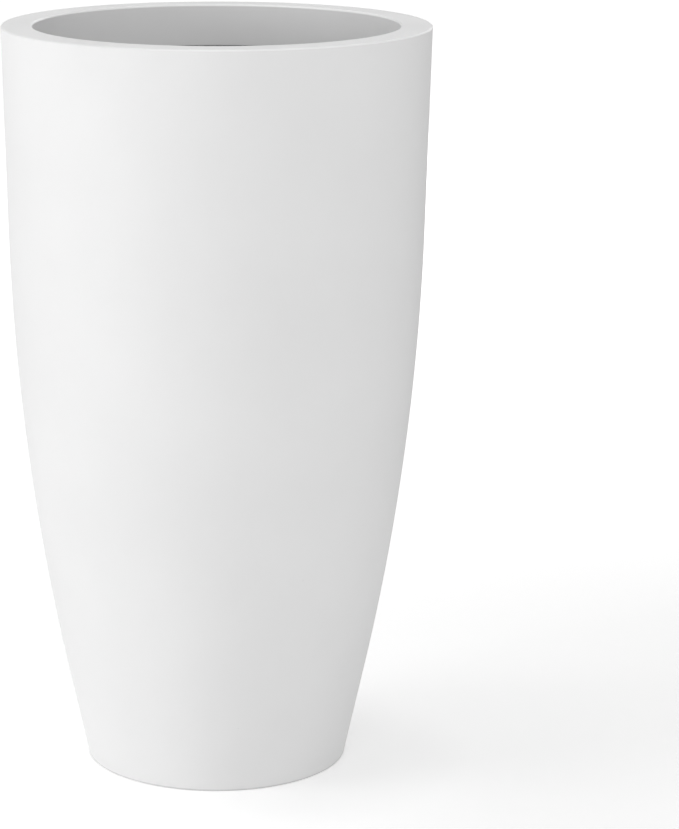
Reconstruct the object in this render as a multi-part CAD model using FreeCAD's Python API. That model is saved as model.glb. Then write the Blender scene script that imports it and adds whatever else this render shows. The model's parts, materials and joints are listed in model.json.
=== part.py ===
"""Tall tapered planter of glass-fibre reinforced concrete, with a rubber stopper in its drain hole.

The pot is laid up as in its mould: a fine face coat, a glass-fibre scrim against its back, and a coarse
backing coat. Every layer is a solid of revolution about Z, and follows the outer wall at its own depth. The
wall is a short straight heel, a long shallow belly arc and a straight stretch under the rim, each tangent to
the next. Millimetres. The origin is on the axis, in the plane that the pot stands on.
"""

import FreeCAD, Part
import math
import os

# Outer shape
TOTAL_HEIGHT = 600.0
RIM_DIAMETER = 340.0
BASE_DIAMETER = 212.0
RIM_LEAN_DEG = 1.43
RIM_STRAIGHT_HEIGHT = 161.0
HEEL_STRAIGHT_HEIGHT = 76.0
BASE_EDGE_RADIUS = 1.2

# Lip at the mouth: a thick rim with a band inside it
LIP_WIDTH = 25.0
LIP_DEPTH = 34.0
LIP_EDGE_RADIUS = 1.2
HAUNCH_DEPTH = 10.0

# Layers of the casting, from the outside in
FACE_THICKNESS = 4.0
SCRIM_THICKNESS = 1.0
BACKING_THICKNESS = 7.0
SCRIM_STOP_BELOW_RIM = 14.0

# Floor and foot
FLOOR_THICKNESS = 20.0
FLOOR_COVE_RADIUS = 15.0
FOOT_RING_WIDTH = 22.0
FOOT_RECESS = 3.0

# Drain hole and its stopper
DRAIN_DIAMETER = 25.0
PLUG_CLEARANCE = 0.3
PLUG_TAPER_DEG = 3.0
PLUG_TIP_SETBACK = 1.0
PLUG_EDGE_RADIUS = 1.0
FLANGE_OVERLAP = 8.0
FLANGE_THICKNESS = 5.0
GRIP_END_INSET = 7.5
GRIP_WIDTH = 6.0
GRIP_HEIGHT = 9.0
GRIP_EDGE_RADIUS = 2.0

# A round takes up no more than this share of the wall that it is on
ROUND_SHARE = 0.8

# Search for the heel's lean: its widest lean either way, and the times that range is halved
STEEPEST_LEAN = math.radians(60)
HALVINGS = 60

# Levels and radii that several pieces share
RIM_RADIUS = RIM_DIAMETER / 2
BASE_RADIUS = BASE_DIAMETER / 2
MOUTH_RADIUS = RIM_RADIUS - LIP_WIDTH
DRAIN_RADIUS = DRAIN_DIAMETER / 2
FLANGE_RADIUS = DRAIN_RADIUS + FLANGE_OVERLAP
WALL_THICKNESS = FACE_THICKNESS + SCRIM_THICKNESS + BACKING_THICKNESS
SCRIM_BACK = FACE_THICKNESS + SCRIM_THICKNESS
UNDERSIDE = FOOT_RECESS
SKIN_TOP = UNDERSIDE + FACE_THICKNESS
SCRIM_TOP = SKIN_TOP + SCRIM_THICKNESS
FLOOR_TOP = UNDERSIDE + FLOOR_THICKNESS
FLANGE_TOP = FLOOR_TOP + FLANGE_THICKNESS
BAND_FOOT = TOTAL_HEIGHT - LIP_DEPTH
RIM_LEAN = math.radians(RIM_LEAN_DEG)
BELLY_HEIGHT = TOTAL_HEIGHT - RIM_STRAIGHT_HEIGHT - HEEL_STRAIGHT_HEIGHT


def taper_for(heel_lean):
    """How far the wall comes in from rim to base for that lean of the heel."""
    return (
        RIM_STRAIGHT_HEIGHT * math.tan(RIM_LEAN)
        + BELLY_HEIGHT * math.tan((RIM_LEAN + heel_lean) / 2)
        + HEEL_STRAIGHT_HEIGHT * math.tan(heel_lean)
    )


def find_heel_lean():
    """The heel's lean that brings the wall down onto the base diameter, found by halving."""
    low = -STEEPEST_LEAN
    high = STEEPEST_LEAN
    for _ in range(HALVINGS):
        middle = (low + high) / 2
        if taper_for(middle) < RIM_RADIUS - BASE_RADIUS:
            low = middle
        else:
            high = middle
    return low


HEEL_LEAN = find_heel_lean()
BELLY_LEAN = (RIM_LEAN + HEEL_LEAN) / 2
BELLY_RADIUS = BELLY_HEIGHT / (math.sin(HEEL_LEAN) - math.sin(RIM_LEAN))


class WallLine:
    """The wall's line at a depth behind its outer face, as points (radius, height)."""

    def __init__(self, depth):
        self.depth = depth
        shoulder_radius = RIM_RADIUS - RIM_STRAIGHT_HEIGHT * math.tan(RIM_LEAN)
        shoulder_height = TOTAL_HEIGHT - RIM_STRAIGHT_HEIGHT
        self.arc_radius = shoulder_radius - BELLY_RADIUS * math.cos(RIM_LEAN)
        self.arc_height = shoulder_height + BELLY_RADIUS * math.sin(RIM_LEAN)
        self.shoulder = self.on_arc(RIM_LEAN)
        self.belly = self.on_arc(BELLY_LEAN)
        self.heel = self.on_arc(HEEL_LEAN)

    def on_arc(self, lean):
        """The belly arc's point where the wall has that lean."""
        reach = BELLY_RADIUS - self.depth
        return self.arc_radius + reach * math.cos(lean), self.arc_height - reach * math.sin(lean)

    def above(self, height):
        """The point at a height on the straight stretch under the rim."""
        drop = TOTAL_HEIGHT - height
        return RIM_RADIUS - drop * math.tan(RIM_LEAN) - self.depth / math.cos(RIM_LEAN), height

    def below(self, height):
        """The point at a height on the straight heel."""
        return BASE_RADIUS + height * math.tan(HEEL_LEAN) - self.depth / math.cos(HEEL_LEAN), height

    def upwards(self):
        """The belly's part of an outline that climbs the wall."""
        return [self.heel, Through(self.belly), self.shoulder]

    def downwards(self):
        """The belly's part of an outline that comes down the wall."""
        return [self.shoulder, Through(self.belly), self.heel]


class Through:
    """A point that an arc passes through, between the outline's points on either side."""

    def __init__(self, point):
        self.point = point


class Rounded:
    """A corner of an outline that is rounded to a radius."""

    def __init__(self, point, radius):
        self.point = point
        self.radius = radius


def vector(point):
    return FreeCAD.Vector(point[0], 0, point[1])


def round_corner(before, corner, after, radius):
    """The start, middle and end of the arc that rounds a corner between two straight lines."""
    to_before = (before - corner).normalize()
    to_after = (after - corner).normalize()
    half = to_before.getAngle(to_after) / 2
    inward = (to_before + to_after).normalize()
    centre = corner + inward * (radius / math.sin(half))
    reach = radius / math.tan(half)
    return corner + to_before * reach, centre - inward * radius, corner + to_after * reach


def outline_edges(steps):
    """The edges of a closed outline of plain points, Rounded corners and Through points, in order."""
    count = len(steps)
    places = [vector(step.point if isinstance(step, (Through, Rounded)) else step) for step in steps]
    stops = []
    for index, step in enumerate(steps):
        place = places[index]
        if isinstance(step, Rounded):
            stops.append(round_corner(places[index - 1], place, places[(index + 1) % count], step.radius))
        else:
            stops.append((place, place, place))
    edges = []
    for index, step in enumerate(steps):
        following = (index + 1) % count
        arrival = stops[following][0]
        if isinstance(step, Through):
            edges.append(Part.Arc(stops[index - 1][2], places[index], arrival).toShape())
            continue
        if isinstance(step, Rounded):
            edges.append(Part.Arc(*stops[index]).toShape())
        if not isinstance(steps[following], Through):
            edges.append(Part.LineSegment(stops[index][2], arrival).toShape())
    return edges


def turned(steps):
    """The solid of revolution of a closed outline about Z."""
    face = Part.Face(Part.Wire(outline_edges(steps)))
    return face.revolve(FreeCAD.Vector(), FreeCAD.Vector(0, 0, 1), 360)


def make_face_coat():
    """Outer wall, underside and rim, turned over the lip and down its band."""
    outside = WallLine(0)
    back = WallLine(FACE_THICKNESS)
    foot_inner_radius = BASE_RADIUS - FOOT_RING_WIDTH
    band_back = MOUTH_RADIUS + FACE_THICKNESS
    under_rim = TOTAL_HEIGHT - FACE_THICKNESS
    band_edge_radius = min(LIP_EDGE_RADIUS, ROUND_SHARE * FACE_THICKNESS)
    return turned(
        [
            (DRAIN_RADIUS, UNDERSIDE),
            (foot_inner_radius - FOOT_RECESS, UNDERSIDE),
            (foot_inner_radius, 0),
            Rounded((BASE_RADIUS, 0), BASE_EDGE_RADIUS),
            *outside.upwards(),
            Rounded((RIM_RADIUS, TOTAL_HEIGHT), LIP_EDGE_RADIUS),
            Rounded((MOUTH_RADIUS, TOTAL_HEIGHT), LIP_EDGE_RADIUS),
            Rounded((MOUTH_RADIUS, BAND_FOOT), band_edge_radius),
            (band_back, BAND_FOOT),
            (band_back, under_rim),
            back.above(under_rim),
            *back.downwards(),
            back.below(SKIN_TOP),
            (DRAIN_RADIUS, SKIN_TOP),
        ]
    )


def make_wall_mesh():
    """Scrim sleeve on the back of the face coat, from the floor's skin up into the lip."""
    front = WallLine(FACE_THICKNESS)
    back = WallLine(SCRIM_BACK)
    stop = TOTAL_HEIGHT - SCRIM_STOP_BELOW_RIM
    return turned(
        [
            front.below(SKIN_TOP),
            *front.upwards(),
            front.above(stop),
            back.above(stop),
            *back.downwards(),
            back.below(SKIN_TOP),
        ]
    )


def make_floor_mesh():
    """Scrim disc on the floor's skin, inside the sleeve."""
    edge = WallLine(SCRIM_BACK)
    return turned(
        [
            (DRAIN_RADIUS, SKIN_TOP),
            edge.below(SKIN_TOP),
            edge.below(SCRIM_TOP),
            (DRAIN_RADIUS, SCRIM_TOP),
        ]
    )


def make_backing_coat():
    """Inner wall and floor, and the core of the lip with the haunch that carries it."""
    skin = WallLine(FACE_THICKNESS)
    scrim = WallLine(SCRIM_BACK)
    inside = WallLine(WALL_THICKNESS)
    band_back = MOUTH_RADIUS + FACE_THICKNESS
    under_rim = TOTAL_HEIGHT - FACE_THICKNESS
    stop = TOTAL_HEIGHT - SCRIM_STOP_BELOW_RIM
    return turned(
        [
            (DRAIN_RADIUS, SCRIM_TOP),
            scrim.below(SCRIM_TOP),
            *scrim.upwards(),
            scrim.above(stop),
            skin.above(stop),
            skin.above(under_rim),
            (band_back, under_rim),
            (band_back, BAND_FOOT),
            inside.above(BAND_FOOT - HAUNCH_DEPTH),
            *inside.downwards(),
            Rounded(inside.below(FLOOR_TOP), FLOOR_COVE_RADIUS),
            (DRAIN_RADIUS, FLOOR_TOP),
        ]
    )


def make_grip():
    """The stopper's finger ridge: a round-ended bar along X with its top edge rounded."""
    half_length = FLANGE_RADIUS - GRIP_END_INSET
    half_width = GRIP_WIDTH / 2
    half_run = half_length - half_width
    foot = (FLOOR_TOP + FLANGE_TOP) / 2
    top = FLANGE_TOP + GRIP_HEIGHT
    edges = []
    for side in (1, -1):
        start = FreeCAD.Vector(-side * half_run, -side * half_width, foot)
        bend = FreeCAD.Vector(side * half_run, -side * half_width, foot)
        tip = FreeCAD.Vector(side * half_length, 0, foot)
        end = FreeCAD.Vector(side * half_run, side * half_width, foot)
        edges.append(Part.LineSegment(start, bend).toShape())
        edges.append(Part.Arc(bend, tip, end).toShape())
    bar = Part.Face(Part.Wire(edges)).extrude(FreeCAD.Vector(0, 0, top - foot))
    top_edges = [edge for edge in bar.Edges if edge.BoundBox.ZMin > FLANGE_TOP]
    return bar.makeFillet(min(GRIP_EDGE_RADIUS, ROUND_SHARE * half_width), top_edges)


def make_drain_plug():
    """Tapered rubber stopper with a flange that seats on the floor and a ridge to pull it by."""
    tip_height = UNDERSIDE + PLUG_TIP_SETBACK
    neck = DRAIN_RADIUS - PLUG_CLEARANCE
    tip = neck - (FLOOR_TOP - tip_height) * math.tan(math.radians(PLUG_TAPER_DEG))
    body = turned(
        [
            (0, tip_height),
            Rounded((tip, tip_height), PLUG_EDGE_RADIUS),
            (neck, FLOOR_TOP),
            (FLANGE_RADIUS, FLOOR_TOP),
            Rounded((FLANGE_RADIUS, FLANGE_TOP), PLUG_EDGE_RADIUS),
            (0, FLANGE_TOP),
        ]
    )
    return body.fuse(make_grip()).removeSplitter()


PIECES = {
    "face_coat": make_face_coat,
    "wall_mesh": make_wall_mesh,
    "floor_mesh": make_floor_mesh,
    "backing_coat": make_backing_coat,
    "drain_plug": make_drain_plug,
}


def main():
    os.makedirs("parts", exist_ok=True)
    print(f"heel lean {math.degrees(HEEL_LEAN):.2f} degrees, belly arc radius {BELLY_RADIUS:.0f} mm")
    for name, make in PIECES.items():
        shape = make()
        shape.exportStep(f"parts/{name}.step")
        print(f"{name}: {len(shape.Solids)} solid, {shape.Volume:.0f} cubic mm, valid {shape.isValid()}")


main()
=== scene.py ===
"""Looks of a tall tapered planter of white fibre concrete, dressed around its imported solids.

Metres, in the frame of the solids: +Z up, with the origin on the pot's axis, in the plane it stands on.
The casting's two coats are turned from outlines, the stopper is pulled out of rings of edges, and the
scrims that lie inside the wall keep their solids.
"""

import json
import logging
import math
from dataclasses import dataclass, field
from enum import Enum
from typing import Any

import bmesh
import bpy
from mathutils import Matrix, Vector, noise


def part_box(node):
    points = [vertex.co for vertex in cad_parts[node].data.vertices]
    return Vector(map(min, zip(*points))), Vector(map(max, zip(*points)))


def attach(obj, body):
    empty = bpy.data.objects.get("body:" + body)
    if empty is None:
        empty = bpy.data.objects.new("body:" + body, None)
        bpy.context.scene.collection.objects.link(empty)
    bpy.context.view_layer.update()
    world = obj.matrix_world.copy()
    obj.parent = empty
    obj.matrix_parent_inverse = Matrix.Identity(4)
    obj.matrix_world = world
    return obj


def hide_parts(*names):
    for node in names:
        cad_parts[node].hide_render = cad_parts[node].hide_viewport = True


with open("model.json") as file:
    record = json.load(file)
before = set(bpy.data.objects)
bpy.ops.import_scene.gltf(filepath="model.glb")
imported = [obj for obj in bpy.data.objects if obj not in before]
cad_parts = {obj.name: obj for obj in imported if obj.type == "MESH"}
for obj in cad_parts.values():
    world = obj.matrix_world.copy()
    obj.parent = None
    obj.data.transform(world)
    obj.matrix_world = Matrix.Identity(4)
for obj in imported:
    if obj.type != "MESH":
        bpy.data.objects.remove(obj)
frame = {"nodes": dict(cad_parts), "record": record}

LOG = logging.getLogger("planter")
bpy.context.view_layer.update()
MM = 0.001
MOUNTS = {mount["name"]: mount for mount in frame["record"]["mounts"]}

# Sockets of a Mix node that mixes colours, and of one that mixes places
MIX_A, MIX_B, MIX_RESULT = 6, 7, 2
MIX_VECTOR_A, MIX_VECTOR_B, MIX_VECTOR_RESULT = 4, 5, 1

Colour = tuple[float, float, float, float]
Point = tuple[float, float]
Tree = bpy.types.NodeTree
Socket = bpy.types.NodeSocket


class Node(Enum):
    """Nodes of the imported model."""

    FACE = "face_coat"
    WALL_SCRIM = "wall_mesh"
    FLOOR_SCRIM = "floor_mesh"
    BACKING = "backing_coat"
    STOPPER = "drain_plug"


class Body(Enum):
    """Bodies that the pieces ride on."""

    POT = "pot"
    STOPPER = "stopper"


class Slot(Enum):
    """Material slots of the record."""

    FACE = "white_face_concrete"
    BACKING = "grey_backing_concrete"
    RUBBER = "black_rubber"


class Lay(Enum):
    """How a scrim lies: wrapped round the axis, or flat across it."""

    WRAPPED = "wrapped"
    FLAT = "flat"


def linear(hex_code: str) -> Colour:
    """Turns an sRGB hex colour into a linear one.

    Args:
        hex_code: six hex digits after a hash sign.

    Returns:
        Red, green and blue as scene-linear values, and an alpha of 1.
    """
    channels = []
    for start in (1, 3, 5):
        value = int(hex_code[start : start + 2], 16) / 255
        channels.append(value / 12.92 if value <= 0.04045 else ((value + 0.055) / 1.055) ** 2.4)
    return channels[0], channels[1], channels[2], 1.0


def add_node(
    tree: Tree, kind: str, inputs: dict[Any, Any], output: int | str = 0, **settings: Any
) -> Socket:
    """Adds a node, sets its properties and fills its inputs.

    Args:
        tree: the node tree that gets the node.
        kind: the node's type, such as "ShaderNodeMath".
        inputs: values or output sockets, by the input's name or number.
        output: name or number of the output that is wanted.
        settings: properties of the node itself, such as operation="ADD".

    Returns:
        The wanted output socket, or the node's first input where it has no output.
    """
    node = tree.nodes.new(kind)
    for name, value in settings.items():
        setattr(node, name, value)
    for key, value in inputs.items():
        if isinstance(value, Socket):
            tree.links.new(value, node.inputs[key])
        else:
            node.inputs[key].default_value = value
    return node.outputs[output] if node.outputs else node.inputs[0]


def new_material(name: str) -> tuple[bpy.types.Material, Tree]:
    """Makes an empty node material.

    Args:
        name: the material's name.

    Returns:
        The material and its node tree.
    """
    material = bpy.data.materials.new(name)
    material.use_nodes = True
    material.node_tree.nodes.clear()
    return material, material.node_tree


def add_surface(tree: Tree, colour: Socket, roughness: Socket | float, ior: float, height: Socket) -> None:
    """Ends a material with its surface.

    Args:
        tree: the material's node tree.
        colour: the surface's colour.
        roughness: its roughness.
        ior: its index of refraction.
        height: how far each point stands out, in metres, shown as bumps.
    """
    bump = add_node(tree, "ShaderNodeBump", {"Height": height, "Distance": 1.0})
    surface = {"Base Color": colour, "Roughness": roughness, "IOR": ior, "Normal": bump}
    shader = add_node(tree, "ShaderNodeBsdfPrincipled", surface)
    add_node(tree, "ShaderNodeOutputMaterial", {"Surface": shader})


@dataclass(frozen=True)
class PaintedEdgeTone:
    """A band along a round edge whose colour paints a highlight when paler and a shade when darker: where it
    is, how far it reaches, and its colour and roughness.

    It is full within a share of its reach, the core. It goes all round, or comes in patches of a given
    size, which grow between two levels of a slow noise.
    """

    radius: float
    height: float
    reach: float
    shade: str
    roughness: float
    core: float = 0.6
    patch_size: float = 0.0
    patch_seed: float = 0.0
    patch_levels: Point = (0.43, 0.51)

    def mask(self, tree: Tree, place: Socket, section: Socket) -> Socket:
        """Finds how much of the painted edge colour the surface takes.

        Args:
            tree: the material's node tree.
            place: Object coordinates.
            section: distance from the axis as X, and height as Z.

        Returns:
            The share of the painted edge colour, from 0 to 1.
        """
        spot = (self.radius, 0, self.height)
        gap = add_node(tree, "ShaderNodeVectorMath", {0: section, 1: spot}, "Value", operation="DISTANCE")
        fade = {"Value": gap, "From Min": self.reach, "From Max": self.reach * self.core}
        line = add_node(tree, "ShaderNodeMapRange", fade, interpolation_type="SMOOTHSTEP")
        if not self.patch_size:
            return line
        slow = {"Vector": place, "W": self.patch_seed, "Scale": 1 / self.patch_size, "Detail": 0.0}
        patch = add_node(tree, "ShaderNodeTexNoise", slow, noise_dimensions="4D")
        low, high = self.patch_levels
        spread = {"Value": patch, "From Min": low, "From Max": high, "To Max": line}
        return add_node(tree, "ShaderNodeMapRange", spread)


@dataclass(frozen=True)
class SealedFaceConcrete:
    """Fine white face mix of fibre concrete, cast against a smooth mould and sealed."""

    # To the eye an even, matt white with faint clouds and rare pinholes painted darker as the shade in them;
    # along the edges, paler patches paint a highlight on the lip and a grey line paints shade at the foot.
    # The grain is drawn coarser than the sand of such a mix, so that it shows.
    painted_edges: tuple[PaintedEdgeTone, ...]
    white: str = "#F2F2F2"
    cloud: str = "#EFEFEF"
    pinhole_shade: str = "#DEDEDE"
    ior: float = 1.5
    roughness_low: float = 0.62
    roughness_high: float = 0.72
    cloud_size: float = 120 * MM
    cloud_detail: float = 3.0
    cloud_levels: Point = (0.3, 0.7)
    ripple_size: float = 14 * MM
    ripple_depth: float = 0.006 * MM
    grain_size: float = 1.5 * MM
    grain_depth: float = 0.001 * MM
    pinhole_spacing: float = 34 * MM
    pinhole_radius: float = 0.5 * MM
    pinhole_core: float = 0.5
    pinhole_depth: float = 0.08 * MM

    def build(self) -> bpy.types.Material:
        """Makes the material.

        Returns:
            The material.
        """
        material, tree = new_material("sealed_white_face_concrete")
        place = add_node(tree, "ShaderNodeTexCoord", {}, "Object")
        clouds = {"Vector": place, "Scale": 1 / self.cloud_size, "Detail": self.cloud_detail}
        cloud = add_node(tree, "ShaderNodeTexNoise", clouds)
        ripple = add_node(tree, "ShaderNodeTexNoise", {"Vector": place, "Scale": 1 / self.ripple_size})
        grain = add_node(tree, "ShaderNodeTexNoise", {"Vector": place, "Scale": 1 / self.grain_size})
        cell = add_node(tree, "ShaderNodeTexVoronoi", {"Vector": place, "Scale": 1 / self.pinhole_spacing})
        radius = self.pinhole_radius / self.pinhole_spacing
        fade = {"Value": cell, "From Min": radius, "From Max": radius * self.pinhole_core}
        hole = add_node(tree, "ShaderNodeMapRange", fade, interpolation_type="SMOOTHSTEP")
        low, high = self.cloud_levels
        share = add_node(tree, "ShaderNodeMapRange", {"Value": cloud, "From Min": low, "From Max": high})
        # The pinholes are painted darker, as the shade inside them
        colour = linear(self.white)
        for mask, shade in ((share, self.cloud), (hole, self.pinhole_shade)):
            blend = {0: mask, MIX_A: colour, MIX_B: linear(shade)}
            colour = add_node(tree, "ShaderNodeMix", blend, MIX_RESULT, data_type="RGBA")
        sealed = {"Value": share, "To Min": self.roughness_low, "To Max": self.roughness_high}
        roughness = add_node(tree, "ShaderNodeMapRange", sealed)
        section = self.cross_section(tree, place)
        # Edge bands: paler patches on the lip paint a highlight and also get a lower roughness; a grey line
        # at the foot paints shade
        for painted_edge in self.painted_edges:
            edge_paint_share = painted_edge.mask(tree, place, section)
            blend = {0: edge_paint_share, MIX_A: colour, MIX_B: linear(painted_edge.shade)}
            colour = add_node(tree, "ShaderNodeMix", blend, MIX_RESULT, data_type="RGBA")
            polish = {"Value": edge_paint_share, "To Min": roughness, "To Max": painted_edge.roughness}
            roughness = add_node(tree, "ShaderNodeMapRange", polish)
        height = add_node(tree, "ShaderNodeMath", {0: hole, 1: -self.pinhole_depth}, operation="MULTIPLY")
        for pattern, depth in ((grain, self.grain_depth), (ripple, self.ripple_depth)):
            layer = {0: pattern, 1: depth, 2: height}
            height = add_node(tree, "ShaderNodeMath", layer, operation="MULTIPLY_ADD")
        add_surface(tree, colour, roughness, self.ior, height)
        return material

    def cross_section(self, tree: Tree, place: Socket) -> Socket:
        """Turns places round the axis into one cross-section.

        Args:
            tree: the material's node tree.
            place: Object coordinates.

        Returns:
            Distance from the axis as X, and height as Z.
        """
        level = add_node(tree, "ShaderNodeVectorMath", {0: place, 1: (1, 1, 0)}, operation="MULTIPLY")
        radius = add_node(tree, "ShaderNodeVectorMath", {0: level}, "Value", operation="LENGTH")
        height = add_node(tree, "ShaderNodeSeparateXYZ", {"Vector": place}, "Z")
        return add_node(tree, "ShaderNodeCombineXYZ", {"X": radius, "Z": height})


@dataclass(frozen=True)
class RolledBackingConcrete:
    """Grey backing mix with chopped glass fibre, sprayed into the mould and rolled down by hand."""

    # To the eye a dull light grey with roller waves, pale strands lying every way, and open air voids
    # painted dark grey as the shade inside them
    bore_radius: float
    wall_from: float
    grey: str = "#D8D8D8"
    damp: str = "#CBCBCB"
    strand: str = "#E3E3E3"
    void: str = "#969696"
    ior: float = 1.5
    roughness: float = 0.88
    patch_size: float = 70 * MM
    patch_detail: float = 4.0
    patch_levels: Point = (0.35, 0.65)
    wave_size: float = 16 * MM
    wave_detail: float = 2.0
    wave_depth: float = 0.35 * MM
    grit_size: float = 2.2 * MM
    grit_detail: float = 2.0
    grit_depth: float = 0.08 * MM
    strand_length: float = 26 * MM
    strand_width: float = 1.6 * MM
    strand_height: float = 0.12 * MM
    strand_turns: tuple[float, ...] = (20, 85, 150)
    strand_levels: Point = (0.66, 0.74)
    void_spacing: float = 13 * MM
    void_radius: float = 1.3 * MM
    void_core: float = 0.6
    void_depth: float = 0.8 * MM

    def build(self) -> bpy.types.Material:
        """Makes the material.

        Returns:
            The material.
        """
        material, tree = new_material("rolled_grey_backing_concrete")
        place = add_node(tree, "ShaderNodeTexCoord", {}, "Object")
        patch, wave, grit = (
            add_node(tree, "ShaderNodeTexNoise", {"Vector": place, "Scale": 1 / size, "Detail": detail})
            for size, detail in (
                (self.patch_size, self.patch_detail),
                (self.wave_size, self.wave_detail),
                (self.grit_size, self.grit_detail),
            )
        )
        strands = self.lay_strands(tree, place)
        cell = add_node(tree, "ShaderNodeTexVoronoi", {"Vector": place, "Scale": 1 / self.void_spacing})
        radius = self.void_radius / self.void_spacing
        fade = {"Value": cell, "From Min": radius, "From Max": radius * self.void_core}
        void = add_node(tree, "ShaderNodeMapRange", fade, interpolation_type="SMOOTHSTEP")
        low, high = self.patch_levels
        share = add_node(tree, "ShaderNodeMapRange", {"Value": patch, "From Min": low, "From Max": high})
        # The voids are painted dark grey, as the shade inside them
        colour = linear(self.grey)
        for mask, shade in ((share, self.damp), (strands, self.strand), (void, self.void)):
            blend = {0: mask, MIX_A: colour, MIX_B: linear(shade)}
            colour = add_node(tree, "ShaderNodeMix", blend, MIX_RESULT, data_type="RGBA")
        height = add_node(tree, "ShaderNodeMath", {0: void, 1: -self.void_depth}, operation="MULTIPLY")
        for pattern, depth in (
            (strands, self.strand_height),
            (grit, self.grit_depth),
            (wave, self.wave_depth),
        ):
            layer = {0: pattern, 1: depth, 2: height}
            height = add_node(tree, "ShaderNodeMath", layer, operation="MULTIPLY_ADD")
        add_surface(tree, colour, self.roughness, self.ior, height)
        return material

    def spread_flat(self, tree: Tree, place: Socket) -> Socket:
        """Rolls the inner wall out flat, and leaves the floor as it lies.

        Args:
            tree: the material's node tree.
            place: Object coordinates.

        Returns:
            Places in the plane of the surface, as X and Y.
        """
        split = add_node(tree, "ShaderNodeSeparateXYZ", {"Vector": place}).node.outputs
        angle = add_node(tree, "ShaderNodeMath", {0: split["Y"], 1: split["X"]}, operation="ARCTAN2")
        around = add_node(tree, "ShaderNodeMath", {0: angle, 1: self.bore_radius}, operation="MULTIPLY")
        wall = add_node(tree, "ShaderNodeCombineXYZ", {"X": around, "Y": split["Z"]})
        level = {0: split["Z"], 1: self.wall_from}
        on_wall = add_node(tree, "ShaderNodeMath", level, operation="GREATER_THAN")
        sheets = {0: on_wall, MIX_VECTOR_A: place, MIX_VECTOR_B: wall}
        return add_node(tree, "ShaderNodeMix", sheets, MIX_VECTOR_RESULT, data_type="VECTOR")

    def lay_strands(self, tree: Tree, place: Socket) -> Socket:
        """Draws chopped strands that lie in the surface, turned several ways.

        Args:
            tree: the material's node tree.
            place: Object coordinates.

        Returns:
            Where the strands are, from 0 to 1.
        """
        sheet = self.spread_flat(tree, place)
        size = (self.strand_length, self.strand_width, 1)
        low, high = self.strand_levels
        laid = 0.0
        for turn in self.strand_turns:
            way = {"Vector": sheet, "Rotation": (0, 0, math.radians(turn)), "Scale": size}
            turned = add_node(tree, "ShaderNodeMapping", way, vector_type="TEXTURE")
            streaks = {"Vector": turned, "Scale": 1.0, "Detail": 0.0}
            streak = add_node(tree, "ShaderNodeTexNoise", streaks, noise_dimensions="2D")
            cut = {"Value": streak, "From Min": low, "From Max": high}
            strand = add_node(tree, "ShaderNodeMapRange", cut)
            laid = add_node(tree, "ShaderNodeMath", {0: laid, 1: strand}, operation="MAXIMUM")
        return laid


@dataclass(frozen=True)
class WovenGlassScrim:
    """Open scrim of woven glass yarn, soaked with cement slurry."""

    # To the eye a pale satin grid of yarns over dull grey slurry
    lay: Lay
    yarn: str = "#E4E6E1"
    slurry: str = "#B5B6B2"
    ior: float = 1.55
    roughness: float = 0.45
    yarn_pitch: float = 5 * MM
    yarn_width: float = 1.8 * MM
    yarn_height: float = 0.4 * MM
    yarns_round: int = 170

    def build(self) -> bpy.types.Material:
        """Makes the material.

        Returns:
            The material.
        """
        material, tree = new_material(f"slurried_glass_scrim_{self.lay.value}")
        place = add_node(tree, "ShaderNodeTexCoord", {}, "Object")
        split = add_node(tree, "ShaderNodeSeparateXYZ", {"Vector": place}).node.outputs
        if self.lay is Lay.WRAPPED:
            angle = add_node(tree, "ShaderNodeMath", {0: split["Y"], 1: split["X"]}, operation="ARCTAN2")
            ways = ((angle, 2 * math.pi / self.yarns_round), (split["Z"], self.yarn_pitch))
        else:
            ways = ((split["X"], self.yarn_pitch), (split["Y"], self.yarn_pitch))
        grid = 0.0
        for way, pitch in ways:
            gap = add_node(tree, "ShaderNodeMath", {0: way, 1: pitch / 2}, operation="PINGPONG")
            edge = pitch / 2 * self.yarn_width / self.yarn_pitch
            fade = {"Value": gap, "From Min": edge, "From Max": 0.0}
            yarn = add_node(tree, "ShaderNodeMapRange", fade, interpolation_type="SMOOTHSTEP")
            grid = add_node(tree, "ShaderNodeMath", {0: grid, 1: yarn}, operation="MAXIMUM")
        blend = {0: grid, MIX_A: linear(self.slurry), MIX_B: linear(self.yarn)}
        colour = add_node(tree, "ShaderNodeMix", blend, MIX_RESULT, data_type="RGBA")
        height = add_node(tree, "ShaderNodeMath", {0: grid, 1: self.yarn_height}, operation="MULTIPLY")
        add_surface(tree, colour, self.roughness, self.ior, height)
        return material


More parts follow.
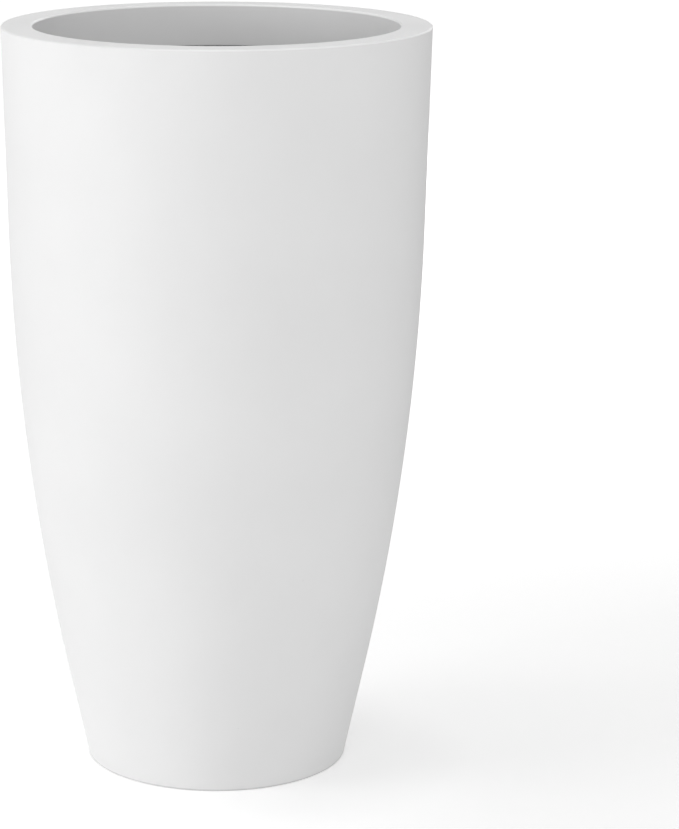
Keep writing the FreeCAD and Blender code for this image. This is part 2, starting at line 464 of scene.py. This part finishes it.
@dataclass(frozen=True)
class MouldedRubber:
    """Black rubber, pressed in a spark-eroded mould."""

    # To the eye a soft black with a fine grain, a broad dull shine and a little concrete dust.
    # The grain is drawn coarser than the mould leaves it, so that it shows.
    black: str = "#1E1E1F"
    dust: str = "#34332F"
    ior: float = 1.52
    roughness_low: float = 0.5
    roughness_high: float = 0.68
    dust_size: float = 9 * MM
    dust_detail: float = 5.0
    dust_levels: Point = (0.45, 0.75)
    grain_size: float = 0.7 * MM
    grain_depth: float = 0.02 * MM

    def build(self) -> bpy.types.Material:
        """Makes the material.

        Returns:
            The material.
        """
        material, tree = new_material("moulded_black_rubber")
        place = add_node(tree, "ShaderNodeTexCoord", {}, "Object")
        clouds = {"Vector": place, "Scale": 1 / self.dust_size, "Detail": self.dust_detail}
        cloud = add_node(tree, "ShaderNodeTexNoise", clouds)
        grain = add_node(tree, "ShaderNodeTexNoise", {"Vector": place, "Scale": 1 / self.grain_size})
        low, high = self.dust_levels
        dusty = add_node(tree, "ShaderNodeMapRange", {"Value": cloud, "From Min": low, "From Max": high})
        blend = {0: dusty, MIX_A: linear(self.black), MIX_B: linear(self.dust)}
        colour = add_node(tree, "ShaderNodeMix", blend, MIX_RESULT, data_type="RGBA")
        shine = {"Value": cloud, "To Min": self.roughness_low, "To Max": self.roughness_high}
        roughness = add_node(tree, "ShaderNodeMapRange", shine)
        height = add_node(tree, "ShaderNodeMath", {0: grain, 1: self.grain_depth}, operation="MULTIPLY")
        add_surface(tree, colour, roughness, self.ior, height)
        return material


class OutlinePen:
    """Draws a closed outline in the plane of radius (X) and height (Z), and turns it about Z."""

    ROUND_STEPS = 6
    MERGE_DISTANCE = 0.001 * MM

    def __init__(self, start: Point) -> None:
        """Sets the pen down.

        Args:
            start: radius and height of the first corner.
        """
        self.mesh = bmesh.new()
        self.first = self.mesh.verts.new((start[0], 0, start[1]))
        self.last = self.first
        self.rounds: list[tuple[bmesh.types.BMVert, float, int]] = []

    def line_to(self, corner: Point, rounding: float = 0.0, steps: int = ROUND_STEPS) -> None:
        """Draws a straight line.

        Args:
            corner: radius and height where the line ends.
            rounding: radius that this corner gets when the outline is closed, or 0.
            steps: edges along that round, where 1 makes a flat.
        """
        self.last = bmesh.ops.extrude_vert_indiv(self.mesh, verts=[self.last])["verts"][0]
        self.last.co = (corner[0], 0, corner[1])
        if rounding:
            self.rounds.append((self.last, rounding, steps))

    def arc(self, centre: Point, angle: float, steps: int) -> None:
        """Draws an arc from where the pen is.

        Args:
            centre: radius and height of the arc's centre.
            angle: turn about +Y, in radians.
            steps: edges along the arc.
        """
        made = bmesh.ops.spin(
            self.mesh,
            geom=[self.last],
            cent=(centre[0], 0, centre[1]),
            axis=(0, 1, 0),
            angle=angle,
            steps=steps,
        )
        self.last = next(item for item in made["geom_last"] if isinstance(item, bmesh.types.BMVert))

    def close(self) -> None:
        """Joins the outline's ends and rounds its corners."""
        self.mesh.edges.new((self.last, self.first))
        for corner, rounding, steps in self.rounds:
            sides = [(edge.other_vert(corner).co - corner.co).normalized() for edge in corner.link_edges]
            bmesh.ops.bevel(
                self.mesh,
                geom=[corner],
                offset=rounding / math.tan(sides[0].angle(sides[1]) / 2),
                offset_type="OFFSET",
                segments=steps,
                profile=0.5,
                affect="VERTICES",
                material=-1,
            )

    def divide(self, longest: float) -> None:
        """Divides the outline's long edges.

        Args:
            longest: length that no edge stays over.
        """
        for edge in self.mesh.edges[:]:
            cuts = math.ceil(edge.calc_length() / longest) - 1
            if cuts > 0:
                bmesh.ops.subdivide_edges(self.mesh, edges=[edge], cuts=cuts)

    def turn(self, steps: int) -> bmesh.types.BMesh:
        """Turns the closed outline once about Z.

        Args:
            steps: faces round the axis.

        Returns:
            The closed mesh, with its faces pointing outwards.
        """
        bmesh.ops.spin(
            self.mesh,
            geom=self.mesh.verts[:] + self.mesh.edges[:],
            cent=(0, 0, 0),
            axis=(0, 0, 1),
            angle=2 * math.pi,
            steps=steps,
            use_merge=True,
        )
        bmesh.ops.remove_doubles(self.mesh, verts=self.mesh.verts[:], dist=self.MERGE_DISTANCE)
        bmesh.ops.recalc_face_normals(self.mesh, faces=self.mesh.faces[:])
        return self.mesh


def make_object(
    name: str, mesh: bmesh.types.BMesh, material: bpy.types.Material, crease: float = math.radians(40)
) -> bpy.types.Object:
    """Turns a bmesh into a smooth-shaded object at the origin.

    Args:
        name: name of the object.
        mesh: its finished mesh, which is freed.
        material: its material.
        crease: angle between faces from which an edge stays sharp.

    Returns:
        The object, linked to the scene.
    """
    data = bpy.data.meshes.new(name)
    mesh.to_mesh(data)
    mesh.free()
    data.shade_smooth()
    data.set_sharp_from_angle(angle=crease)
    data.materials.append(material)
    piece = bpy.data.objects.new(name, data)
    bpy.context.scene.collection.objects.link(piece)
    return piece


def stand_for(piece: bpy.types.Object, body: Body, node: Node) -> None:
    """Lets a piece move with a body, in the place of a node.

    Args:
        piece: the piece.
        body: the body that it rides on.
        node: the node that it replaces.
    """
    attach(piece, body.value)
    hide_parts(node.value)


@dataclass
class WallLine:
    """The pot's wall in the plane of radius and height: straight heel, belly arc, straight rim."""

    height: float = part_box(Node.FACE.value)[1].z
    rim_radius: float = 170 * MM
    base_radius: float = 106 * MM
    rim_lean: float = math.radians(1.43)
    rim_straight: float = 161 * MM
    heel_straight: float = 76 * MM
    belly_steps: int = 48
    lean_limit: float = math.radians(45)
    lean_tolerance: float = 1e-9

    def __post_init__(self) -> None:
        """Finds the heel's lean that brings the wall down onto the base, and the belly arc."""
        belly_height = self.height - self.rim_straight - self.heel_straight
        low, high = 0.0, self.lean_limit
        while high - low > self.lean_tolerance:
            lean = (low + high) / 2
            taper = (
                self.rim_straight * math.tan(self.rim_lean)
                + belly_height * math.tan((self.rim_lean + lean) / 2)
                + self.heel_straight * math.tan(lean)
            )
            low, high = (lean, high) if taper < self.rim_radius - self.base_radius else (low, lean)
        self.heel_lean = low
        self.belly_radius = belly_height / (math.sin(low) - math.sin(self.rim_lean))
        shoulder_radius = self.rim_radius - self.rim_straight * math.tan(self.rim_lean)
        shoulder_height = self.height - self.rim_straight
        self.centre = (
            shoulder_radius - self.belly_radius * math.cos(self.rim_lean),
            shoulder_height + self.belly_radius * math.sin(self.rim_lean),
        )

    def on_belly(self, depth: float, lean: float) -> Point:
        """Finds a point of the belly arc.

        Args:
            depth: distance behind the outer face.
            lean: the wall's lean at that point.

        Returns:
            Its radius and height.
        """
        reach = self.belly_radius - depth
        return self.centre[0] + reach * math.cos(lean), self.centre[1] - reach * math.sin(lean)

    def above(self, depth: float, height: float) -> Point:
        """Finds a point on the straight stretch under the rim.

        Args:
            depth: distance behind the outer face.
            height: height over the floor.

        Returns:
            Its radius and height.
        """
        face = self.rim_radius - (self.height - height) * math.tan(self.rim_lean)
        return face - depth / math.cos(self.rim_lean), height

    def below(self, depth: float, height: float) -> Point:
        """Finds a point on the straight heel.

        Args:
            depth: distance behind the outer face.
            height: height over the floor.

        Returns:
            Its radius and height.
        """
        face = self.base_radius + height * math.tan(self.heel_lean)
        return face - depth / math.cos(self.heel_lean), height

    def climb(self, pen: OutlinePen, depth: float) -> None:
        """Draws the belly upwards, from heel to shoulder.

        Args:
            pen: the pen, anywhere on the heel.
            depth: distance behind the outer face.
        """
        pen.line_to(self.on_belly(depth, self.heel_lean))
        pen.arc(self.centre, self.rim_lean - self.heel_lean, self.belly_steps)

    def descend(self, pen: OutlinePen, depth: float) -> None:
        """Draws the belly downwards, from shoulder to heel.

        Args:
            pen: the pen, anywhere on the straight stretch under the rim.
            depth: distance behind the outer face.
        """
        pen.line_to(self.on_belly(depth, self.rim_lean))
        pen.arc(self.centre, self.heel_lean - self.rim_lean, self.belly_steps)


@dataclass
class Pot:
    """The casting: its white face coat, the scrims behind it and the grey backing coat inside."""

    wall: WallLine = field(default_factory=WallLine)
    mouth_radius: float = MOUNTS["mouth"]["dims"]["r_mm"] * MM
    lip_depth: float = 34 * MM
    rim_flat: float = 0.9 * MM
    mouth_flat: float = 1.2 * MM
    # Painted highlight: the lip's outer and inner edges are painted near white in patches, with a lower
    # roughness
    rim_highlight_reach: float = 1.4 * MM
    mouth_highlight_reach: float = 2.0 * MM
    highlight_patch: float = 260 * MM
    rim_highlight_seed: float = 38.0
    mouth_highlight_seed: float = 15.5
    # Painted shade: a grey line along the foot's edge, where it meets the floor
    foot_shade_reach: float = 1.9 * MM
    painted_highlight: str = "#FEFEFE"
    highlight_roughness: float = 0.3
    painted_foot_shade: str = "#DFDFDF"
    foot_shade_roughness: float = 0.8
    band_foot_round: float = 0.4 * MM
    haunch_depth: float = 10 * MM
    base_round: float = 1.2 * MM
    face_thickness: float = 4 * MM
    scrim_thickness: float = 1 * MM
    wall_thickness: float = 12 * MM
    scrim_stop: float = 14 * MM
    foot_recess: float = 3 * MM
    foot_width: float = 22 * MM
    foot_round: float = 0.8 * MM
    floor_thickness: float = 20 * MM
    floor_cove: float = 15 * MM
    drain_radius: float = 12.5 * MM
    seat_radius: float = 26 * MM
    wave_height: float = 0.4 * MM
    wave_size: float = 34 * MM
    wave_fade: float = 12 * MM
    open_slope: float = 0.3
    backing_grid: float = 7 * MM
    steps_round: int = 192

    def __post_init__(self) -> None:
        """Works out the levels that several layers share."""
        self.skin_top = self.foot_recess + self.face_thickness
        self.scrim_top = self.skin_top + self.scrim_thickness
        self.floor_top = self.foot_recess + self.floor_thickness
        self.band_foot = self.wall.height - self.lip_depth
        self.under_rim = self.wall.height - self.face_thickness
        self.band_back = self.mouth_radius + self.face_thickness
        self.scrim_back = self.face_thickness + self.scrim_thickness

    def build(self) -> list[bpy.types.Object]:
        """Builds the two coats and dresses the scrims.

        Returns:
            The casting's pieces.
        """
        wall = self.wall
        # Painted highlight in patches along the lip's two edges, and painted shade along the foot's edge
        highlight_band = {"shade": self.painted_highlight, "roughness": self.highlight_roughness, "patch_size": self.highlight_patch}
        painted_edges = (
            PaintedEdgeTone(wall.rim_radius, wall.height, self.rim_highlight_reach, patch_seed=self.rim_highlight_seed, **highlight_band),
            PaintedEdgeTone(self.mouth_radius, wall.height, self.mouth_highlight_reach, patch_seed=self.mouth_highlight_seed, **highlight_band),
            PaintedEdgeTone(wall.base_radius, 0, self.foot_shade_reach, self.painted_foot_shade, self.foot_shade_roughness),
        )
        backing = RolledBackingConcrete(self.mouth_radius, self.floor_top + self.floor_cove / 2)
        pieces = [self.build_face(SealedFaceConcrete(painted_edges).build()), self.build_backing(backing.build())]
        for node, lay in ((Node.WALL_SCRIM, Lay.WRAPPED), (Node.FLOOR_SCRIM, Lay.FLAT)):
            scrim = frame["nodes"][node.value]
            scrim.data.materials.clear()
            scrim.data.materials.append(WovenGlassScrim(lay).build())
            pieces.append(scrim)
        return pieces

    def build_face(self, material: bpy.types.Material) -> bpy.types.Object:
        """Builds the face coat: outer wall, underside and rim, turned over the lip and down its band.

        Args:
            material: its finish.

        Returns:
            The face coat.
        """
        wall = self.wall
        foot_inside = wall.base_radius - self.foot_width
        pen = OutlinePen((self.drain_radius, self.foot_recess))
        pen.line_to((foot_inside - self.foot_recess, self.foot_recess), self.foot_round)
        pen.line_to((foot_inside, 0), self.foot_round)
        pen.line_to((wall.base_radius, 0), self.base_round)
        wall.climb(pen, 0)
        pen.line_to((wall.rim_radius, wall.height), self.rim_flat, steps=1)
        pen.line_to((self.mouth_radius, wall.height), self.mouth_flat, steps=1)
        pen.line_to((self.mouth_radius, self.band_foot), self.band_foot_round)
        pen.line_to((self.band_back, self.band_foot))
        pen.line_to((self.band_back, self.under_rim))
        pen.line_to(wall.above(self.face_thickness, self.under_rim))
        wall.descend(pen, self.face_thickness)
        pen.line_to(wall.below(self.face_thickness, self.skin_top))
        pen.line_to((self.drain_radius, self.skin_top))
        pen.close()
        piece = make_object("white_face_coat", pen.turn(self.steps_round), material)
        stand_for(piece, Body.POT, Node.FACE)
        return piece

    def build_backing(self, material: bpy.types.Material) -> bpy.types.Object:
        """Builds the backing coat: inner wall, floor and the core of the lip, rolled a little uneven.

        Args:
            material: its finish.

        Returns:
            The backing coat.
        """
        wall = self.wall
        stop = wall.height - self.scrim_stop
        pen = OutlinePen((self.drain_radius, self.scrim_top))
        pen.line_to(wall.below(self.scrim_back, self.scrim_top))
        wall.climb(pen, self.scrim_back)
        pen.line_to(wall.above(self.scrim_back, stop))
        pen.line_to(wall.above(self.face_thickness, stop))
        pen.line_to(wall.above(self.face_thickness, self.under_rim))
        pen.line_to((self.band_back, self.under_rim))
        pen.line_to((self.band_back, self.band_foot))
        pen.line_to(wall.above(self.wall_thickness, self.band_foot - self.haunch_depth))
        wall.descend(pen, self.wall_thickness)
        pen.line_to(wall.below(self.wall_thickness, self.floor_top), self.floor_cove)
        pen.line_to((self.drain_radius, self.floor_top))
        pen.close()
        pen.divide(self.backing_grid)
        mesh = pen.turn(self.steps_round)
        self.roll_uneven(mesh)
        piece = make_object("grey_backing_coat", mesh, material)
        stand_for(piece, Body.POT, Node.BACKING)
        return piece

    def roll_uneven(self, mesh: bmesh.types.BMesh) -> None:
        """Moves the inner wall and the floor in and out in low waves, and leaves the stopper's seat flat.

        Args:
            mesh: the backing coat's mesh.
        """
        mesh.normal_update()
        moves = []
        for vert in mesh.verts:
            radius = math.hypot(vert.co.x, vert.co.y)
            inwards = -(vert.co.x * vert.normal.x + vert.co.y * vert.normal.y) / radius
            if max(inwards, vert.normal.z) < self.open_slope:
                continue
            room = min(self.band_foot - self.haunch_depth - vert.co.z, radius - self.seat_radius)
            fade = min(1.0, max(0.0, room / self.wave_fade))
            lift = noise.noise(vert.co / self.wave_size) * self.wave_height * fade
            moves.append((vert, vert.normal * lift))
        for vert, move in moves:
            vert.co += move


@dataclass
class Stopper:
    """Rubber stopper of the drain hole: flange, tapered plug and a finger ridge along X."""

    seat: float
    hole_radius: float
    low: Vector = field(default_factory=lambda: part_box(Node.STOPPER.value)[0])
    high: Vector = field(default_factory=lambda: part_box(Node.STOPPER.value)[1])
    flange_thickness: float = 5 * MM
    flange_round: float = 1 * MM
    clearance: float = 0.3 * MM
    taper: float = math.radians(3)
    tip_round: float = 1 * MM
    grip_inset: float = 7.5 * MM
    grip_width: float = 6 * MM
    grip_round: float = 2 * MM
    grip_fillet: float = 1.2 * MM
    round_steps: int = 5
    steps_round: int = 72

    def build(self, material: bpy.types.Material) -> bpy.types.Object:
        """Builds the stopper.

        Args:
            material: its finish.

        Returns:
            The stopper.
        """
        mesh = bmesh.new()
        flange_radius = self.high.x
        flange_top = self.seat + self.flange_thickness
        neck = self.hole_radius - self.clearance
        tip = neck - (self.seat - self.low.z) * math.tan(self.taper)
        rim = self.add_ring(mesh, flange_radius, flange_top)
        foot = self.add_ring(mesh, self.grip_width / 2, flange_top)
        run = flange_radius - self.grip_inset - self.grip_width / 2
        for vert in {vert for edge in foot for vert in edge.verts}:
            vert.co.x += math.copysign(run, vert.co.x)
        bmesh.ops.bridge_loops(mesh, edges=rim + foot)
        ridge = self.pull(mesh, foot, 1.0, self.high.z)
        crown = bmesh.ops.edgeloop_fill(mesh, edges=ridge)["faces"]
        skirt = self.pull(mesh, rim, 1.0, self.seat)
        collar = self.pull(mesh, skirt, neck / flange_radius, self.seat)
        end = self.pull(mesh, collar, tip / neck, self.low.z)
        bmesh.ops.edgeloop_fill(mesh, edges=end)
        crown_edges = crown[0].edges[:]
        for edges, rounding in (
            (crown_edges, self.grip_round),
            (foot, self.grip_fillet),
            (rim, self.flange_round),
            (end, self.tip_round),
        ):
            bmesh.ops.bevel(
                mesh,
                geom=[edge for edge in edges if edge.is_valid],
                offset=rounding,
                offset_type="OFFSET",
                segments=self.round_steps,
                profile=0.5,
                affect="EDGES",
                material=-1,
            )
        bmesh.ops.recalc_face_normals(mesh, faces=mesh.faces[:])
        piece = make_object("rubber_stopper", mesh, material)
        stand_for(piece, Body.STOPPER, Node.STOPPER)
        return piece

    def add_ring(self, mesh: bmesh.types.BMesh, radius: float, height: float) -> list[bmesh.types.BMEdge]:
        """Adds a circle of edges about the axis.

        Args:
            mesh: the mesh that gets it.
            radius: its radius.
            height: its height.

        Returns:
            Its edges.
        """
        made = bmesh.ops.create_circle(mesh, segments=self.steps_round, radius=radius)["verts"]
        half_step = Matrix.Rotation(math.pi / self.steps_round, 3, "Z")
        bmesh.ops.rotate(mesh, verts=made, cent=(0, 0, 0), matrix=half_step)
        bmesh.ops.translate(mesh, verts=made, vec=(0, 0, height))
        return list({edge for vert in made for edge in vert.link_edges})

    def pull(
        self, mesh: bmesh.types.BMesh, ring: list[bmesh.types.BMEdge], scale: float, height: float
    ) -> list[bmesh.types.BMEdge]:
        """Extrudes a ring of edges to another height and width.

        Args:
            mesh: the mesh that it is in.
            ring: the ring's edges.
            scale: the new ring's width against the old one's.
            height: the new ring's height.

        Returns:
            The new ring's edges.
        """
        made = bmesh.ops.extrude_edge_only(mesh, edges=ring)["geom"]
        verts = [item for item in made if isinstance(item, bmesh.types.BMVert)]
        bmesh.ops.scale(mesh, vec=(scale, scale, 1), verts=verts)
        for vert in verts:
            vert.co.z = height
        return [
            item
            for item in made
            if isinstance(item, bmesh.types.BMEdge) and all(vert in verts for vert in item.verts)
        ]


@dataclass(frozen=True)
class SoftBox:
    """A rectangular studio lamp aimed at the pot.

    Azimuth 0 is in front of the pot, on the camera's side, and 90 is to the right.
    """

    name: str
    azimuth: float
    elevation: float
    distance: float
    width: float
    tall: float
    power: float

    def build(self, target: Vector) -> None:
        """Places the lamp.

        Args:
            target: the point that it faces.
        """
        data = bpy.data.lights.new(self.name, "AREA")
        data.shape = "RECTANGLE"
        data.size = self.width
        data.size_y = self.tall
        data.energy = self.power
        lamp = bpy.data.objects.new(self.name, data)
        turn, lift = math.radians(self.azimuth), math.radians(self.elevation)
        way = Vector((math.sin(turn) * math.cos(lift), -math.cos(turn) * math.cos(lift), math.sin(lift)))
        lamp.location = target + way * self.distance
        lamp.rotation_euler = way.to_track_quat("Z", "Y").to_euler()
        bpy.context.scene.collection.objects.link(lamp)


@dataclass(frozen=True)
class DarkCard:
    """A black card behind the pot, off camera, that only the gloss on the pot's sides picks up."""

    name: str
    azimuth: float
    distance: float = 0.9
    width: float = 1.0
    tall: float = 0.7

    def build(self, material: bpy.types.Material) -> None:
        """Stands the card up on the floor, square to the pot.

        Args:
            material: its finish.
        """
        turn = math.radians(self.azimuth)
        place = Vector((math.sin(turn) * self.distance, -math.cos(turn) * self.distance, self.tall / 2))
        upright = Matrix.Rotation(turn, 4, "Z") @ Matrix.Rotation(math.pi / 2, 4, "X")
        mesh = bmesh.new()
        made = bmesh.ops.create_grid(mesh, x_segments=1, y_segments=1, size=1)["verts"]
        bmesh.ops.scale(mesh, vec=(self.width / 2, self.tall / 2, 1), verts=made)
        bmesh.ops.transform(mesh, matrix=Matrix.Translation(place) @ upright, verts=made)
        card = make_object(self.name, mesh, material)
        card.visible_camera = False
        card.visible_diffuse = False
        card.visible_shadow = False


@dataclass
class PhotoCamera:
    """The camera, fitted to the pot's outline and rim in the photograph's frame of pixels."""

    distance: float = 2418.3 * MM
    height: float = 872 * MM
    pitch_down: float = math.radians(13.3638)
    focal_px: float = 3070.3
    frame_px: tuple[int, int] = (679, 829)
    axis_px: Point = (216.5, 398.0)
    sensor_mm: float = 36.0

    def build(self) -> None:
        """Places the camera and makes it the scene's."""
        long_side = max(self.frame_px)
        data = bpy.data.cameras.new("camera")
        data.sensor_width = self.sensor_mm
        data.lens = self.focal_px / long_side * self.sensor_mm
        data.shift_x = (self.frame_px[0] / 2 - self.axis_px[0]) / long_side
        data.shift_y = (self.axis_px[1] - self.frame_px[1] / 2) / long_side
        camera = bpy.data.objects.new("camera", data)
        camera.location = (0, -self.distance, self.height)
        camera.rotation_euler = (math.pi / 2 - self.pitch_down, 0, 0)
        bpy.context.scene.collection.objects.link(camera)
        bpy.context.scene.camera = camera


@dataclass(frozen=True)
class ShadowLiftRing:
    """A ring of the floor across which its lift to white grows, so that the floor inside it stays darker, a
    painted shadow.
    """

    centre: Point
    near: float
    far: float
    gain: float


@dataclass
class Studio:
    """White paper floor, soft light and a white surround."""

    floor_size: float = 60.0
    ambient: float = 0.429
    paper: float = 0.97
    # Painted shadow: the lift is low at the foot and grows outwards from centres by and to the right of the
    # pot
    foot_shadow_lift: float = 0.162
    shadow_lift_rings: tuple[ShadowLiftRing, ...] = (
        ShadowLiftRing(centre=(0.03, -0.015), near=0.1, far=0.18, gain=0.07),
        ShadowLiftRing(centre=(0.54, 0.02), near=0.36, far=0.94, gain=0.19),
        ShadowLiftRing(centre=(0.25, 0.0), near=1.0, far=3.0, gain=0.235),
    )
    card_black: str = "#0A0A0A"
    target: Vector = field(default_factory=lambda: Vector((0, 0, 0.3)))
    lamps: tuple[SoftBox, ...] = (
        SoftBox("side_key", azimuth=-76, elevation=8, distance=3, width=1.4, tall=1.4, power=29.3),
        SoftBox("front_fill", azimuth=0, elevation=20, distance=3.5, width=3, tall=2.2, power=21.5),
        SoftBox("right_fill", azimuth=45, elevation=45, distance=3.5, width=3, tall=2.2, power=18.4),
        SoftBox("top_light", azimuth=-117, elevation=71, distance=3, width=1.4, tall=1.4, power=8),
        SoftBox("back_fill", azimuth=180, elevation=12, distance=3.5, width=3, tall=1.4, power=25),
    )
    cards: tuple[DarkCard, ...] = (DarkCard("left_card", azimuth=-150), DarkCard("right_card", azimuth=150))

    def build(self) -> None:
        """Sets up the floor, the surround, the lamps and the cards."""
        self.build_floor()
        self.build_world()
        for lamp in self.lamps:
            lamp.build(self.target)
        velvet, tree = new_material("black_velvet")
        nap = add_node(tree, "ShaderNodeBsdfDiffuse", {"Color": linear(self.card_black)})
        add_node(tree, "ShaderNodeOutputMaterial", {"Surface": nap})
        for card in self.cards:
            card.build(velvet)
        bpy.context.scene.view_settings.view_transform = "Standard"

    def looked_at(self, tree: Tree) -> Socket:
        """Tells light that reaches the eye, straight or by gloss or glass, from light that falls on things.

        Args:
            tree: the node tree that asks.

        Returns:
            1 where the ray is a look, and 0 where it is light.
        """
        path = add_node(tree, "ShaderNodeLightPath", {}).node.outputs
        look = path["Is Camera Ray"]
        for ray in ("Is Glossy Ray", "Is Transmission Ray"):
            look = add_node(tree, "ShaderNodeMath", {0: look, 1: path[ray]}, operation="MAXIMUM")
        return look

    def build_floor(self) -> None:
        """Lays the floor, a paper that is lifted to white for the eye and keeps the pot's shadow; the lift
        is held lower around the foot and to the pot's right, which paints a darker shadow there.
        """
        material, tree = new_material("white_paper")
        place = add_node(tree, "ShaderNodeTexCoord", {}, "Object")
        strength = self.foot_shadow_lift
        for ring in self.shadow_lift_rings:
            ends = {0: place, 1: (*ring.centre, 0)}
            reach = add_node(tree, "ShaderNodeVectorMath", ends, "Value", operation="DISTANCE")
            ramp = {"Value": reach, "From Min": ring.near, "From Max": ring.far, "To Max": ring.gain}
            rise = add_node(tree, "ShaderNodeMapRange", ramp)
            strength = add_node(tree, "ShaderNodeMath", {0: strength, 1: rise}, operation="ADD")
        look = self.looked_at(tree)
        shown = add_node(tree, "ShaderNodeMath", {0: strength, 1: look}, operation="MULTIPLY")
        lift = add_node(tree, "ShaderNodeEmission", {"Strength": shown})
        sheet = add_node(tree, "ShaderNodeBsdfDiffuse", {"Color": (self.paper, self.paper, self.paper, 1)})
        lifted = add_node(tree, "ShaderNodeAddShader", {0: sheet, 1: lift})
        add_node(tree, "ShaderNodeOutputMaterial", {"Surface": lifted})
        mesh = bmesh.new()
        bmesh.ops.create_grid(mesh, x_segments=1, y_segments=1, size=self.floor_size / 2)
        floor = make_object("paper_floor", mesh, material)

    def build_world(self) -> None:
        """Fills the surround with soft light, and shows it white."""
        world = bpy.data.worlds.new("studio")
        bpy.context.scene.world = world
        world.use_nodes = True
        tree = world.node_tree
        tree.nodes.clear()
        white = (1, 1, 1, 1)
        light = add_node(tree, "ShaderNodeBackground", {"Color": white, "Strength": self.ambient})
        shown = add_node(tree, "ShaderNodeBackground", {"Color": white, "Strength": 1.0})
        surround = add_node(tree, "ShaderNodeMixShader", {0: self.looked_at(tree), 1: light, 2: shown})
        add_node(tree, "ShaderNodeOutputWorld", {"Surface": surround})


def main() -> None:
    """Builds the pot, its stopper, the studio and the camera, and reports each piece."""
    logging.basicConfig(level=logging.INFO, format="%(name)s: %(message)s")
    pot = Pot()
    stopper = Stopper(seat=pot.floor_top, hole_radius=pot.drain_radius)
    pieces = pot.build()
    pieces.append(stopper.build(MouldedRubber().build()))
    for piece in pieces:
        LOG.info("%s: %d faces, %s", piece.name, len(piece.data.polygons), piece.data.materials[0].name)
    Studio().build()
    PhotoCamera().build()


if __name__ == "__main__":
    main()
